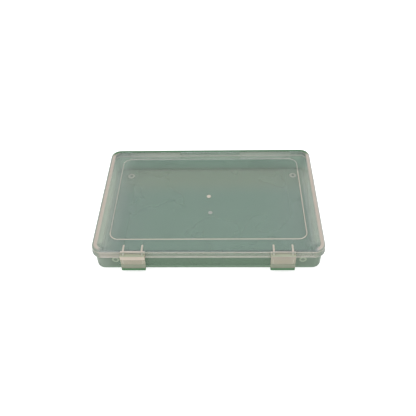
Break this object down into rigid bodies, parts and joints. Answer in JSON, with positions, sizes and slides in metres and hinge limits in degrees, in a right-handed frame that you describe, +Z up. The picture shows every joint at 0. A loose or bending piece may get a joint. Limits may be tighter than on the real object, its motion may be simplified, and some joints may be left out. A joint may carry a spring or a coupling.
{
  "type": "craft storage box",
  "caption": "Shallow rectangular hinged storage box of translucent plastic with a lift-up lid and clip latches along its front edge.",
  "frame": {"origin": "middle of the closed box's bounding box, at its base, on the surface that the feet stand on", "axes": "+X to the box's right along its width, +Y from the latches to the hinges, +Z up"},
  "size_m": [0.2364, 0.173, 0.0303],
  "materials": {
    "tray_plastic": "translucent green polypropylene, satin",
    "lid_plastic": "clear polypropylene with a faint milky haze, glossy",
    "latch_plastic": "clear polypropylene with a faint milky haze, glossy",
    "steel_wire": "plain drawn wire"
  },
  "bodies": {
    "tray_body": {"tray": "tray_plastic", "hinge_pin_left": "steel_wire", "hinge_pin_right": "steel_wire"},
    "lid_body": {"lid": "lid_plastic", "latch_pin_left": "steel_wire", "latch_pin_right": "steel_wire"},
    "latch_left_body": {"latch_left": "latch_plastic"},
    "latch_right_body": {"latch_right": "latch_plastic"}
  },
  "joints": [
    {"name": "lid_hinge", "type": "hinge", "parent": "tray_body", "child": "lid_body", "pos_m": [0, 0.08388, 0.02], "axis": [-1, 0, 0], "range_deg": [0, 180]},
    {"name": "latch_left_pivot", "type": "hinge", "parent": "lid_body", "child": "latch_left_body", "pos_m": [-0.075, -0.08232, 0.0261], "axis": [-1, 0, 0], "range_deg": [0, 90]},
    {"name": "latch_right_pivot", "type": "hinge", "parent": "lid_body", "child": "latch_right_body", "pos_m": [0.075, -0.08232, 0.0261], "axis": [-1, 0, 0], "range_deg": [0, 90]}
  ]
}
